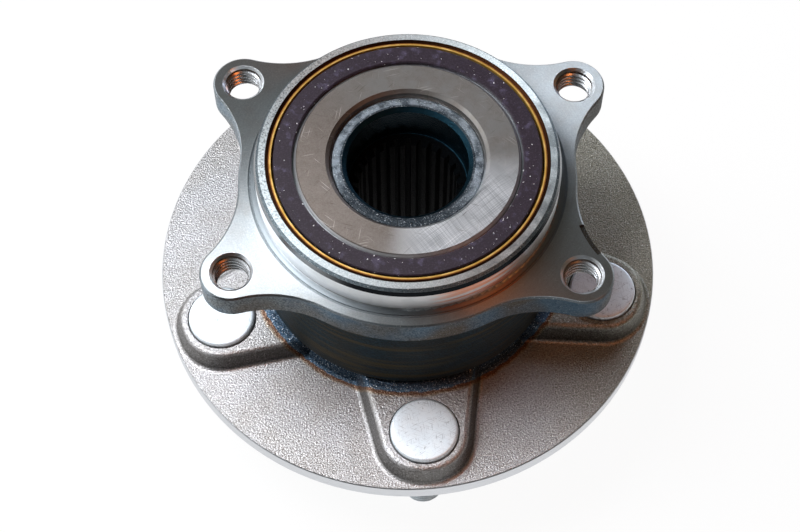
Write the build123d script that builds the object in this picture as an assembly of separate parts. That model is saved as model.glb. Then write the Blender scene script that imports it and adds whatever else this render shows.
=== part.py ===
from build123d import *
import math
import os

# Wheel hub bearing of a driven wheel, in millimetres.
# The origin is the centre of the wheel bolt circle, on the face that the brake disc seats on.
# +Z runs along the axle towards the knuckle, so the wheel is on the lower side.

# Wheel bolt circle
wheel_bolt_circle = 114.3
wheel_bolt_count = 5
wheel_bolt_turn = -84.9

# Wheel studs
stud_thread_radius = 6.0
stud_shank_step = 0.4
stud_shank_recess = 0.05
stud_head_overhang = 3.0
stud_head_height = 3.7
stud_head_round = 0.9
stud_reach = 27.5
stud_tip_step = 1.4
stud_tip_length = 2.2
stud_seat_depth = 2.4
stud_seat_clearance = 0.4

# Hub flange
flange_thickness = 6.5
flange_rim_flat = 0.37
flange_outer_chamfer = 1.4
flange_edge_break = 0.3

# Raised pads around the studs
pad_height = 5.8
pad_side_wall = 2.5
pad_end_wall = 1.6
pad_spread = 10.5
pad_wall_lean = 17.0
pad_toe_fillet = 1.5
pad_top_fillet = 1.8
pad_root_overlap = 5.0
root_margin = 1.0
root_slope_width = 4.0

# Centring spigots for the disc and the wheel
disc_spigot_radius = 34.0
disc_spigot_length = 5.5
wheel_spigot_step = 0.6
wheel_spigot_length = 13.0
spigot_wall = 5.2
spigot_chamfer = 1.5
nut_recess_floor = 0.8
nut_recess_lean = 4.7

# Spindle
spline_teeth = 28
spline_root_radius = 14.9
spline_tooth_depth = 1.5
spline_gap_tip_width = 1.9
spline_gap_root_width = 1.05
spline_lead_in = 1.6
axle_pilot_step = 1.5
axle_pilot_depth = 11.4
axle_pilot_chamfer = 1.2
spindle_end_setback = 2.1
spindle_end_chamfer = 0.8
spindle_wall = 4.6

# Balls and raceways
ball_radius = 5.95
balls_per_row = 14
race_clearance = 0.1
inner_race_wall = 7.0
inner_shoulder_rise = 2.2
low_shoulder_depth = 5.0
row_gap = 9.6
outer_land_rise = 2.4
race_relief_rise = 5.1

# Inner ring
inner_ring_tail = 9.7
inner_ring_below_encoder = 0.1
inner_ring_outer_chamfer = 0.7
inner_ring_bore_chamfer = 0.9

# Outer ring
ring_gap = 1.5
ring_wall = 3.65
outer_body_swell = 0.9
outer_body_fillet = 2.5
pilot_length = 9.6
pilot_wall = 3.9
pilot_bevel_width = 0.75
pilot_bevel_depth = 0.8
pilot_lead_in_width = 0.55
pilot_lead_in_depth = 1.4
pilot_undercut_depth = 0.4
pilot_undercut_width = 1.1
pilot_undercut_dip = 0.1
pilot_root_width = 1.4
pilot_root_height = 0.15
face_groove_width = 0.7
face_groove_depth = 0.4

# Knuckle flange
knuckle_flange_thickness = 8.5
knuckle_flange_rim = 2.2
knuckle_spacing_x = 92.0
knuckle_spacing_y = 60.0
ear_radius = 8.4
ear_blend_radius = 30.0
knuckle_edge_break = 0.5
knuckle_thread_radius = 5.0
thread_countersink = 0.8
relief_width = 1.5
relief_depth = 0.9
relief_length = 10.0
relief_turn = -22.0
relief_from_rim = 6.2

# Seals
seal_section = 6.9
outboard_seal_step = 0.1
inboard_mouth_width = 0.9
inboard_mouth_depth = 0.5
outboard_mouth_chamfer = 0.5
seal_case_wall = 0.7
seal_case_edge_below_face = 0.4
seal_seat_spare = 0.4
outboard_seat_spare = 0.8
inboard_seal_case_height = 6.6
outboard_seal_case_height = 4.4
slinger_wall = 0.6
encoder_below_face = 0.2
encoder_thickness = 1.3
encoder_inner_gap = 0.55
encoder_outer_gap = 0.6
encoder_edge_break = 0.25
seal_surface_rise = 1.2
seal_surface_corner = 1.5
lip_clearance = 0.1
lip_thickness = 1.1
case_opening = 2.2

# Cages
cage_half_width = 1.7
cage_wall = 1.2
cage_horn = 3.4
inboard_cage_gap = 0.3
outboard_cage_gap = 1.1
pocket_clearance = 0.15

# Clearance of parts that are pressed together
press_clearance = 0.02

# Radii that follow from the sizes above, from the axle outwards
spline_tip_radius = spline_root_radius - spline_tooth_depth
axle_pilot_radius = spline_root_radius + axle_pilot_step
spindle_rim_inner_radius = axle_pilot_radius + axle_pilot_chamfer
bearing_seat_radius = axle_pilot_radius + spindle_wall
low_shoulder_radius = bearing_seat_radius + inner_race_wall
inner_ring_radius = low_shoulder_radius + inner_shoulder_rise
groove_radius = ball_radius + race_clearance
ball_circle_radius = low_shoulder_radius + low_shoulder_depth
centre_land_radius = ball_circle_radius + outer_land_rise
race_relief_radius = ball_circle_radius + race_relief_rise
seal_surface_radius = inner_ring_radius + seal_surface_rise
inboard_seal_seat_radius = inner_ring_radius + seal_section
outboard_seal_seat_radius = inboard_seal_seat_radius - outboard_seal_step
encoder_inner_radius = inner_ring_radius + encoder_inner_gap
encoder_radius = inboard_seal_seat_radius - seal_case_wall - encoder_outer_gap
pilot_radius = inboard_seal_seat_radius + pilot_wall
lead_in_radius = pilot_radius - pilot_lead_in_width
pilot_bevel_radius = lead_in_radius - pilot_bevel_width
pilot_root_radius = pilot_radius + pilot_root_width
face_groove_radius = pilot_root_radius + face_groove_width
outer_body_bottom_radius = ball_circle_radius + groove_radius + ring_wall
outer_body_top_radius = outer_body_bottom_radius + outer_body_swell
knuckle_flange_radius = outer_body_top_radius + knuckle_flange_rim
root_radius = outboard_seal_seat_radius + root_margin
root_foot_radius = root_radius + root_slope_width
wheel_spigot_radius = disc_spigot_radius - wheel_spigot_step

# Studs, pads and flange
wheel_bolt_radius = wheel_bolt_circle / 2
stud_angles = [wheel_bolt_turn + 360 * n / wheel_bolt_count for n in range(wheel_bolt_count)]
stud_shank_radius = stud_thread_radius + stud_shank_step
stud_head_radius = stud_shank_radius + stud_head_overhang
stud_tip_radius = stud_thread_radius - stud_tip_step
stud_seat_radius = stud_head_radius + stud_seat_clearance
pad_half_width = stud_seat_radius + pad_side_wall
pad_reach = stud_seat_radius + pad_end_wall
pad_corner = pad_half_width * 0.9
pad_toe = pad_height * math.tan(math.radians(pad_wall_lean))
pad_inner_end = root_radius - pad_root_overlap
pad_top = flange_thickness + pad_height
stud_seat = pad_top - stud_seat_depth
toe_reach = pad_toe + pad_toe_fillet * math.tan(math.radians(45 - pad_wall_lean / 2))
flange_radius = wheel_bolt_radius + pad_reach + toe_reach + flange_rim_flat

# Heights, from the stud pads up to the knuckle side
outer_ring_bottom = pad_top + ring_gap
outboard_case_foot = outer_ring_bottom + seal_case_edge_below_face
outboard_case_top = outboard_case_foot + outboard_seal_case_height
cage_back = ball_radius + pocket_clearance + cage_wall
outboard_row = outboard_case_top + outboard_cage_gap + cage_back
inboard_row = outboard_row + 2 * ball_radius + row_gap
inboard_case_foot = inboard_row + cage_back + inboard_cage_gap
inboard_case_top = inboard_case_foot + inboard_seal_case_height
outer_ring_face = inboard_case_top + seal_case_edge_below_face
encoder_face = outer_ring_face - encoder_below_face
encoder_foot = encoder_face - encoder_thickness
inner_ring_face = encoder_face - inner_ring_below_encoder
inner_ring_foot = inboard_row - inner_ring_tail
spindle_end = inner_ring_face - spindle_end_setback
spline_start = spindle_end - axle_pilot_depth
knuckle_face = outer_ring_face - pilot_length
knuckle_underside = knuckle_face - knuckle_flange_thickness
knuckle_bolts = [
    (x * knuckle_spacing_x / 2, y * knuckle_spacing_y / 2) for x in (-1, 1) for y in (-1, 1)
]


# Turns a closed outline of (radius, height) points around the axle.
def turned(points):
    return revolve(Plane.XZ * make_face(Polyline(*points, close=True)), Axis.Z)


# The same, with some corners of the outline rounded first: (corner, radius) pairs.
def turned_soft(points, rounds):
    outline = make_face(Polyline(*points, close=True))
    for corner, radius in rounds:
        outline = fillet(outline.vertices().sort_by_distance(corner)[0], radius)
    return revolve(Plane.XZ * outline, Axis.Z)


def polar(radius, angle):
    return (radius * math.cos(math.radians(angle)), radius * math.sin(math.radians(angle)))


# Ball groove of one row, cut from whichever ring it is taken from.
def groove(row):
    return Pos(0, 0, row) * Torus(ball_circle_radius, groove_radius)


# Centre of the hollow arc that touches two circles from outside.
def blend_centre(centre, near_radius, far_radius, radius, side):
    distance = math.hypot(*centre)
    reach = near_radius + radius
    along = (distance**2 + reach**2 - (far_radius + radius) ** 2) / (2 * distance)
    across = side * math.sqrt(reach**2 - along**2)
    ux, uy = centre[0] / distance, centre[1] / distance
    return (ux * along - uy * across, uy * along + ux * across)


# One ear of the knuckle flange: a round end that blends into the round flange by two hollow arcs.
def knuckle_ear(centre):
    left, right = [
        blend_centre(centre, knuckle_flange_radius, ear_radius, ear_blend_radius, side)
        for side in (1, -1)
    ]
    ear = make_face(Polyline((0, 0), left, centre, right, close=True))
    for hollow in (left, right):
        ear -= Pos(*hollow) * Circle(ear_blend_radius)
    return ear + Pos(*centre) * Circle(ear_radius)


def knuckle_flange():
    outline = Circle(knuckle_flange_radius)
    for bolt in knuckle_bolts:
        outline += knuckle_ear(bolt)
    flange = Pos(0, 0, knuckle_underside) * extrude(outline, knuckle_flange_thickness)
    flange = chamfer(flange.faces().sort_by(Axis.Z)[-1].edges(), knuckle_edge_break)
    return chamfer(flange.faces().sort_by(Axis.Z)[0].edges(), knuckle_edge_break)


# Threaded hole at its full thread diameter, with a countersink at each end.
def knuckle_hole(centre):
    top = knuckle_face
    bottom = knuckle_underside
    wide = knuckle_thread_radius + thread_countersink
    hole = turned(
        [
            (0, bottom - 1),
            (wide + 1, bottom - 1),
            (wide, bottom),
            (knuckle_thread_radius, bottom + thread_countersink),
            (knuckle_thread_radius, top - thread_countersink),
            (wide, top),
            (wide + 1, top + 1),
            (0, top + 1),
        ]
    )
    return Pos(centre[0], centre[1], 0) * hole


# Rounded undercut at the foot of the pilot, so that the knuckle's edge clears the corner. Its arc
# has the stated width and depth where it meets the pilot wall.
def pilot_undercut():
    half_width = pilot_undercut_width / 2
    arc_radius = (half_width**2 + pilot_undercut_depth**2) / (2 * pilot_undercut_depth)
    middle = knuckle_face + half_width + pilot_undercut_dip
    return Pos(0, 0, middle) * Torus(pilot_radius - pilot_undercut_depth + arc_radius, arc_radius)


# Narrow groove around the foot of the pilot, so that the knuckle seats on a clean face.
def face_groove():
    return turned(
        [
            (pilot_root_radius, knuckle_face - face_groove_depth),
            (face_groove_radius, knuckle_face - face_groove_depth),
            (face_groove_radius, knuckle_face + 1),
            (pilot_root_radius, knuckle_face + 1),
        ]
    )


# Shallow milled relief along the waist beside one ear.
def ear_relief():
    ear = (knuckle_spacing_x / 2, -knuckle_spacing_y / 2)
    hollow = blend_centre(ear, knuckle_flange_radius, ear_radius, ear_blend_radius, 1)
    middle = polar(knuckle_flange_radius + relief_from_rim, relief_turn)
    floor = Pos(*hollow) * Circle(ear_blend_radius + relief_width)
    floor &= Pos(*middle) * Circle(relief_length / 2)
    return Pos(0, 0, knuckle_face - relief_depth) * extrude(floor, relief_depth + 1)


# Stationary ring: bolts to the knuckle, centres in it by its pilot, and carries both outer raceways.
def outer_ring():
    body_corner = (outer_body_top_radius, knuckle_underside)
    body = turned_soft(
        [
            (centre_land_radius, outer_ring_bottom),
            (outer_body_bottom_radius - flange_edge_break, outer_ring_bottom),
            (outer_body_bottom_radius, outer_ring_bottom + flange_edge_break),
            body_corner,
            (knuckle_flange_radius - flange_edge_break, knuckle_underside),
            (knuckle_flange_radius - flange_edge_break, knuckle_face - 1),
            (centre_land_radius, knuckle_face - 1),
        ],
        [(body_corner, outer_body_fillet * 0.7)],
    )
    pilot = turned(
        [
            (centre_land_radius, knuckle_face - 1),
            (pilot_root_radius, knuckle_face - 1),
            (pilot_root_radius, knuckle_face),
            (pilot_radius, knuckle_face + pilot_root_height),
            (pilot_radius, outer_ring_face - pilot_bevel_depth - pilot_lead_in_depth),
            (lead_in_radius, outer_ring_face - pilot_bevel_depth),
            (pilot_bevel_radius, outer_ring_face),
            (centre_land_radius, outer_ring_face),
        ]
    )
    ring = body + pilot + knuckle_flange()
    inboard_mouth = inboard_case_foot - seal_seat_spare
    outboard_mouth = outboard_case_top + outboard_seat_spare
    ring -= turned(
        [
            (0, outer_ring_bottom - 1),
            (outboard_seal_seat_radius + outboard_mouth_chamfer + 1, outer_ring_bottom - 1),
            (outboard_seal_seat_radius + outboard_mouth_chamfer, outer_ring_bottom),
            (outboard_seal_seat_radius, outer_ring_bottom + outboard_mouth_chamfer),
            (outboard_seal_seat_radius, outboard_mouth),
            (race_relief_radius, outboard_mouth),
            (race_relief_radius, outboard_row),
            (centre_land_radius, outboard_row),
            (centre_land_radius, inboard_row),
            (race_relief_radius, inboard_row),
            (race_relief_radius, inboard_mouth),
            (inboard_seal_seat_radius, inboard_mouth),
            (inboard_seal_seat_radius, outer_ring_face - inboard_mouth_depth),
            (inboard_seal_seat_radius + inboard_mouth_width, outer_ring_face),
            (inboard_seal_seat_radius + inboard_mouth_width, outer_ring_face + 1),
            (0, outer_ring_face + 1),
        ]
    )
    ring -= groove(outboard_row)
    ring -= groove(inboard_row)
    ring -= pilot_undercut()
    ring -= face_groove()
    for bolt in knuckle_bolts:
        ring -= knuckle_hole(bolt)
    return ring - ear_relief()


# Outline of a stud pad at its foot: it widens towards the axle and is rounded at its outer end.
def pad_outline():
    slope = math.tan(math.radians(pad_spread))
    outer = wheel_bolt_radius + pad_reach + pad_toe
    half_at_stud = pad_half_width + pad_toe
    half_outer = half_at_stud - (outer - wheel_bolt_radius) * slope
    half_inner = half_at_stud + (wheel_bolt_radius - pad_inner_end) * slope
    outline = make_face(
        Polyline(
            (pad_inner_end, -half_inner),
            (outer, -half_outer),
            (outer, half_outer),
            (pad_inner_end, half_inner),
            close=True,
        )
    )
    corners = outline.vertices().sort_by(Axis.X)[-2:]
    return fillet(corners, pad_corner + pad_toe)


def stud_pad(angle):
    pad = extrude(pad_outline(), pad_height, taper=pad_wall_lean)
    pad = fillet(pad.faces().sort_by(Axis.Z)[-1].edges().sort_by(Axis.X)[1:], pad_top_fillet)
    return Rot(0, 0, angle) * Pos(0, 0, flange_thickness) * pad


# Rounds the foot of the pads, where their walls meet the flange.
def soft_feet(body):
    rim = flange_radius - flange_edge_break
    feet = [
        edge
        for edge in body.edges()
        if abs(edge.center().Z - flange_thickness) < 0.01
        and root_foot_radius + 0.1 < math.hypot((edge @ 0.5).X, (edge @ 0.5).Y) < rim - 0.05
    ]
    return fillet(feet, pad_toe_fillet)


# Splined bore: a round hole at the tooth tips, with one gap cut per tooth space.
def spline_cut():
    gap = make_face(
        Polyline(
            (spline_tip_radius - 0.4, -spline_gap_tip_width / 2),
            (spline_root_radius, -spline_gap_root_width / 2),
            (spline_root_radius, spline_gap_root_width / 2),
            (spline_tip_radius - 0.4, spline_gap_tip_width / 2),
            close=True,
        )
    )
    section = Circle(spline_tip_radius) + PolarLocations(0, spline_teeth) * gap
    start = nut_recess_floor - 1
    return Pos(0, 0, start) * extrude(section, spline_start - start)


# Rotating flange and spindle in one forging: disc face, spigots, outboard raceway and splined bore.
def hub_flange():
    recess_mouth = wheel_spigot_radius - spigot_wall
    body = turned(
        [
            (0, -wheel_spigot_length),
            (wheel_spigot_radius - spigot_chamfer, -wheel_spigot_length),
            (wheel_spigot_radius, spigot_chamfer - wheel_spigot_length),
            (wheel_spigot_radius, -disc_spigot_length - wheel_spigot_step),
            (disc_spigot_radius, -disc_spigot_length),
            (disc_spigot_radius, 0),
            (flange_radius - flange_outer_chamfer, 0),
            (flange_radius, flange_outer_chamfer),
            (flange_radius, flange_thickness - flange_edge_break),
            (flange_radius - flange_edge_break, flange_thickness),
            (root_foot_radius, flange_thickness),
            (root_radius, pad_top),
            (seal_surface_radius + seal_surface_corner, pad_top),
            (seal_surface_radius, pad_top + seal_surface_corner),
            (seal_surface_radius, outboard_row - cage_back - seal_surface_rise),
            (inner_ring_radius, outboard_row - cage_back - seal_surface_rise / 3),
            (inner_ring_radius, outboard_row),
            (low_shoulder_radius, outboard_row),
            (low_shoulder_radius, inner_ring_foot),
            (bearing_seat_radius - press_clearance, inner_ring_foot),
            (bearing_seat_radius - press_clearance, spindle_end - spindle_end_chamfer),
            (bearing_seat_radius - press_clearance - spindle_end_chamfer, spindle_end),
            (0, spindle_end),
        ]
    )
    for angle in stud_angles:
        body += stud_pad(angle)
    body = soft_feet(body)
    body -= groove(outboard_row)
    body -= turned(
        [
            (0, spline_start - spline_lead_in),
            (spline_tip_radius, spline_start - spline_lead_in),
            (spline_root_radius + 0.3, spline_start),
            (axle_pilot_radius, spline_start),
            (axle_pilot_radius, spindle_end - axle_pilot_chamfer),
            (spindle_rim_inner_radius, spindle_end),
            (spindle_rim_inner_radius + 1, spindle_end + 1),
            (0, spindle_end + 1),
        ]
    )
    body -= turned(
        [
            (0, -wheel_spigot_length - 1),
            (recess_mouth, -wheel_spigot_length - 1),
            (recess_mouth, -wheel_spigot_length),
            (recess_mouth - nut_recess_lean, nut_recess_floor),
            (spline_root_radius + 0.3, nut_recess_floor),
            (spline_tip_radius, nut_recess_floor + spline_lead_in),
            (0, nut_recess_floor + spline_lead_in),
        ]
    )
    body -= spline_cut()
    for angle in stud_angles:
        body -= stud_hole(angle)
    return body


# Hole of one stud, with the shallow flat seat that its head is pressed down on.
def stud_hole(angle):
    hole_radius = stud_shank_radius + press_clearance
    hole = turned(
        [
            (0, -1),
            (hole_radius, -1),
            (hole_radius, stud_seat),
            (stud_seat_radius, stud_seat),
            (stud_seat_radius, pad_top + 1),
            (0, pad_top + 1),
        ]
    )
    return Rot(0, 0, angle) * Pos(wheel_bolt_radius, 0, 0) * hole


# Pressed wheel stud: round head, plain shank in the flange, thread that reaches through the wheel.
def wheel_stud(angle):
    head_top = stud_seat + stud_head_height
    stud = turned_soft(
        [
            (0, -stud_reach),
            (stud_tip_radius, -stud_reach),
            (stud_tip_radius, stud_tip_length / 2 - stud_reach),
            (stud_thread_radius, stud_tip_length - stud_reach),
            (stud_thread_radius, stud_shank_recess),
            (stud_shank_radius, stud_shank_recess + stud_shank_step),
            (stud_shank_radius, stud_seat),
            (stud_head_radius, stud_seat),
            (stud_head_radius, head_top),
            (0, head_top),
        ],
        [((stud_head_radius, head_top), stud_head_round)],
    )
    return Rot(0, 0, angle) * Pos(wheel_bolt_radius, 0, 0) * stud


# Pressed-on ring with the inboard inner raceway.
def inner_ring():
    ring = turned(
        [
            (bearing_seat_radius, inner_ring_foot),
            (low_shoulder_radius, inner_ring_foot),
            (low_shoulder_radius, inboard_row),
            (inner_ring_radius, inboard_row),
            (inner_ring_radius, inner_ring_face - inner_ring_outer_chamfer),
            (inner_ring_radius - inner_ring_outer_chamfer, inner_ring_face),
            (bearing_seat_radius + inner_ring_bore_chamfer, inner_ring_face),
            (bearing_seat_radius, inner_ring_face - inner_ring_bore_chamfer),
        ]
    )
    return ring - groove(inboard_row)


# Angle ring pressed on the inner ring; its flange carries the encoder.
def slinger():
    bore = inner_ring_radius + press_clearance
    rim = encoder_radius - slinger_wall / 2
    return turned(
        [
            (bore, inboard_case_foot + lip_clearance),
            (bore + slinger_wall, inboard_case_foot + lip_clearance),
            (bore + slinger_wall, encoder_foot - slinger_wall),
            (rim, encoder_foot - slinger_wall),
            (rim, encoder_foot),
            (bore, encoder_foot),
        ]
    )


# Rubber-bonded magnet ring that the wheel speed sensor reads.
def encoder_ring():
    return turned(
        [
            (encoder_inner_radius, encoder_foot),
            (encoder_radius, encoder_foot),
            (encoder_radius, encoder_face - encoder_edge_break),
            (encoder_radius - encoder_edge_break, encoder_face),
            (encoder_inner_radius + encoder_edge_break, encoder_face),
            (encoder_inner_radius, encoder_face - encoder_edge_break),
        ]
    )


# Steel angle ring of the inboard seal, pressed into the outer ring.
def inboard_seal_case():
    outside = inboard_seal_seat_radius - press_clearance
    mouth = seal_surface_radius + case_opening
    return turned(
        [
            (mouth, inboard_case_foot),
            (outside, inboard_case_foot),
            (outside, inboard_case_top),
            (outside - seal_case_wall, inboard_case_top),
            (outside - seal_case_wall, inboard_case_foot + slinger_wall),
            (mouth, inboard_case_foot + slinger_wall),
        ]
    )


# Rubber of the inboard seal: one lip runs on the slinger's tube, one against its flange.
def inboard_seal_lip():
    seat = inboard_case_foot + slinger_wall
    tube = inner_ring_radius + press_clearance + slinger_wall
    flange = encoder_foot - slinger_wall
    mouth = seal_surface_radius + case_opening
    return turned(
        [
            (mouth - 0.6, seat - slinger_wall),
            (mouth, seat - slinger_wall),
            (mouth, seat),
            (mouth + 1.6, seat),
            (mouth + 1.6, seat + 0.5),
            (mouth + 0.2, seat + lip_thickness),
            (mouth + 0.9, flange - lip_clearance - 0.3),
            (mouth + 0.9, flange - lip_clearance),
            (mouth + 0.4, flange - lip_clearance),
            (mouth - 0.6, seat + lip_thickness),
            (tube + lip_clearance, seat + 0.5),
            (tube + lip_clearance, seat + 0.1),
        ]
    )


# Steel angle ring of the outboard seal.
def outboard_seal_case():
    outside = outboard_seal_seat_radius - press_clearance
    mouth = seal_surface_radius + case_opening
    return turned(
        [
            (mouth, outboard_case_foot),
            (outside, outboard_case_foot),
            (outside, outboard_case_top),
            (outside - seal_case_wall, outboard_case_top),
            (outside - seal_case_wall, outboard_case_foot + slinger_wall),
            (mouth, outboard_case_foot + slinger_wall),
        ]
    )


# Rubber of the outboard seal: one lip on the spindle, one reaching down to the hub flange.
def outboard_seal_lip():
    foot = outboard_case_foot
    mouth = seal_surface_radius + case_opening
    spindle = seal_surface_radius + lip_clearance
    return turned(
        [
            (mouth, foot),
            (mouth, foot + slinger_wall),
            (mouth - 0.5, foot + slinger_wall + 0.6),
            (spindle, foot + slinger_wall + 1.4),
            (spindle, foot + slinger_wall + 0.9),
            (mouth - 0.9, foot - 0.2),
            (mouth + 1.3, pad_top + lip_clearance),
            (mouth + 1.9, pad_top + lip_clearance),
            (mouth + 1.9, pad_top + lip_clearance + 0.5),
            (mouth + 0.6, foot - 0.5),
            (mouth + 1.6, foot - 0.5),
            (mouth + 1.6, foot),
        ]
    )


# Ball positions of one row, as angles.
def ball_angles(offset):
    return [360 * (n + offset) / balls_per_row for n in range(balls_per_row)]


def ball(row, angle):
    x, y = polar(ball_circle_radius, angle)
    return Pos(x, y, row) * Sphere(ball_radius)


# Moulded crown cage: a ring behind the balls, with open pockets that snap around them.
def cage(row, offset, back):
    low, high = sorted((row + back * cage_back, row - back * cage_horn))
    ring = turned(
        [
            (ball_circle_radius - cage_half_width, low),
            (ball_circle_radius + cage_half_width, low),
            (ball_circle_radius + cage_half_width, high),
            (ball_circle_radius - cage_half_width, high),
        ]
    )
    for angle in ball_angles(offset):
        x, y = polar(ball_circle_radius, angle)
        ring -= Pos(x, y, row) * Sphere(ball_radius + pocket_clearance)
    return ring


parts = {
    "outer_ring": outer_ring(),
    "hub_flange": hub_flange(),
    "inner_ring": inner_ring(),
    "slinger": slinger(),
    "encoder_ring": encoder_ring(),
    "inboard_seal_case": inboard_seal_case(),
    "inboard_seal_lip": inboard_seal_lip(),
    "outboard_seal_case": outboard_seal_case(),
    "outboard_seal_lip": outboard_seal_lip(),
    "inboard_cage": cage(inboard_row, 0, 1),
    "outboard_cage": cage(outboard_row, 0.5, -1),
}
for number, angle in enumerate(stud_angles, 1):
    parts[f"wheel_stud_{number}"] = wheel_stud(angle)
for number, angle in enumerate(ball_angles(0), 1):
    parts[f"inboard_ball_{number}"] = ball(inboard_row, angle)
for number, angle in enumerate(ball_angles(0.5), 1):
    parts[f"outboard_ball_{number}"] = ball(outboard_row, angle)

os.makedirs("parts", exist_ok=True)
for name, shape in parts.items():
    export_step(shape, f"parts/{name}.step")
    print(name, "volume", round(shape.volume), "mm3")
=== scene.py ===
import math

import bmesh
import bpy
import numpy as np
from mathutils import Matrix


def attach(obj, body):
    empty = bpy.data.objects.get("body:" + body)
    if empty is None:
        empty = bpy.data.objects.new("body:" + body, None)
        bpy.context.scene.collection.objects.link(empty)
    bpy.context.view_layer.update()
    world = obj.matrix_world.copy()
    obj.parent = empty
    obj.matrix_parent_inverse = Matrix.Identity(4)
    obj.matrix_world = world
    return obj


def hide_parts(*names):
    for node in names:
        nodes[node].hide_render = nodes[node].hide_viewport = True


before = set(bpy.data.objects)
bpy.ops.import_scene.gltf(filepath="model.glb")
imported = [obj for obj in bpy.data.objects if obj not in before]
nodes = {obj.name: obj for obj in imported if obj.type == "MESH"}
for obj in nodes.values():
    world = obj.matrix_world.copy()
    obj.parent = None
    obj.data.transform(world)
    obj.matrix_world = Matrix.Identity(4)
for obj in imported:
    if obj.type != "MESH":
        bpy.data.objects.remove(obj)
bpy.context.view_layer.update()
mm = 0.001
far = 80.0  # beyond every radius of the part
top = 70.0  # above the whole part
print("frame loaded with", len(nodes), "nodes")


# sRGB hex to linear colour.
def hexColour(code):
    srgb = np.array([int(code[i : i + 2], 16) for i in (0, 2, 4)]) / 255
    linear = np.where(srgb <= 0.04045, srgb / 12.92, ((srgb + 0.055) / 1.055) ** 2.4)
    return (*linear.tolist(), 1.0)


# Adds one node. An input is a value, a hex colour or another node's output.
def addNode(tree, kind, inputs=None, **settings):
    node = tree.nodes.new("ShaderNode" + kind)
    for name, value in settings.items():
        setattr(node, name, value)
    for socket, value in (inputs or {}).items():
        if isinstance(value, bpy.types.NodeSocket):
            tree.links.new(value, node.inputs[socket])
        elif isinstance(value, str):
            node.inputs[socket].default_value = hexColour(value)
        else:
            node.inputs[socket].default_value = value
    return node


def newTree(name):
    material = bpy.data.materials.new(name)
    material.use_nodes = True
    material.node_tree.nodes.clear()
    return material, material.node_tree


# Where several masks hold at once; a number among them thins the result.
def overlap(tree, mask, *others):
    for other in others:
        mask = addNode(tree, "Math", {0: mask, 1: other}, operation="MULTIPLY").outputs[0]
    return mask


# Position on the part in millimetres: the point, its x, y and z, the distance r from the axle,
# and the direction away from the axle as a vector one long.
def placeOnPart(tree):
    coordinates = addNode(tree, "TexCoord").outputs["Object"]
    point = addNode(tree, "VectorMath", {0: coordinates, "Scale": 1 / mm}, operation="SCALE").outputs[0]
    axes = addNode(tree, "SeparateXYZ", {0: point}).outputs
    flat = addNode(tree, "CombineXYZ", {0: axes[0], 1: axes[1]}).outputs[0]
    r = addNode(tree, "VectorMath", {0: flat}, operation="LENGTH").outputs["Value"]
    away = addNode(tree, "VectorMath", {0: flat}, operation="NORMALIZE").outputs[0]
    return {"point": point, "x": axes[0], "y": axes[1], "z": axes[2], "r": r, "away": away}


# 1 where the value lies from low to high, easing to 0 over soft millimetres outside.
def between(tree, value, low, high, soft=0.05):
    sides = [
        addNode(tree, "MapRange", {0: value, 1: start, 2: end}, interpolation_type="SMOOTHSTEP").outputs[0]
        for start, end in ((low - soft, low), (high + soft, high))
    ]
    return overlap(tree, *sides)


# 1 where a direction runs along the side, easing from 0 as their dot product grows from low to high.
def facing(tree, direction, side, low, high):
    along = addNode(tree, "VectorMath", {0: direction, 1: side}, operation="DOT_PRODUCT").outputs["Value"]
    return addNode(tree, "MapRange", {0: along, 1: low, 2: high}, interpolation_type="SMOOTHSTEP").outputs[0]


# Noise with blobs of the given size in millimetres, stretched so that low to high becomes 0 to 1.
def mottle(tree, point, size, low=0.35, high=0.65, detail=2.0, rough=0.5):
    noise = addNode(
        tree, "TexNoise", {"Vector": point, "Scale": 1 / size, "Detail": detail, "Roughness": rough}
    ).outputs[0]
    return addNode(tree, "MapRange", {0: noise, 1: low, 2: high}).outputs[0]


# Fine lathe lines around the axle: noise that changes fast with r and z and slowly around the part.
def latheLines(tree, place, pitch, around=3.0, detail=3.0):
    turn = addNode(tree, "VectorMath", {0: place["away"], "Scale": around}, operation="SCALE").outputs[0]
    reach = addNode(tree, "Math", {0: place["r"], 1: place["z"]}, operation="ADD").outputs[0]
    across = addNode(tree, "Math", {0: reach, 1: 1 / pitch}, operation="MULTIPLY").outputs[0]
    lift = addNode(tree, "CombineXYZ", {2: across}).outputs[0]
    where = addNode(tree, "VectorMath", {0: turn, 1: lift}, operation="ADD").outputs[0]
    return addNode(
        tree, "TexNoise", {"Vector": where, "Scale": 1.0, "Detail": detail, "Roughness": 0.6}
    ).outputs[0]


# Fine scratches that run one way: noise drawn out along an angle in degrees around Z and slightly
# bent, of which only the peaks from low to high are kept. Length and width are in millimetres.
def scratches(tree, point, angle, length, width, low, high):
    sway = addNode(tree, "TexNoise", {"Vector": point, "Scale": 0.12, "Detail": 1.0}).outputs["Color"]
    bent = addNode(
        tree, "VectorMath", {0: sway, 1: (0.9, 0.9, 0.0), 2: point}, operation="MULTIPLY_ADD"
    ).outputs[0]
    turned = addNode(
        tree,
        "Mapping",
        {"Vector": bent, "Rotation": (0.0, 0.0, math.radians(-angle)), "Scale": (1.0, 1.0, 0.0)},
    ).outputs[0]
    drawn = addNode(
        tree, "VectorMath", {0: turned, 1: (1 / length, 1 / width, 0.0)}, operation="MULTIPLY"
    ).outputs[0]
    return mottle(tree, drawn, 1.0, low, high, 0.0)


# Lays coats over a base, for colours or for plain values. Each is a mask, a coat, and where it
# isn't whole, the share of it that stays.
def layCoats(tree, base, coats, plain=False):
    for mask, coat, *share in coats:
        mask = overlap(tree, mask, *share)
        if plain:
            base = addNode(tree, "Mix", {0: mask, 2: base, 3: coat}, data_type="FLOAT").outputs[0]
        else:
            base = addNode(tree, "Mix", {0: mask, 6: base, 7: coat}, data_type="RGBA").outputs[2]
    return base


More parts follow.
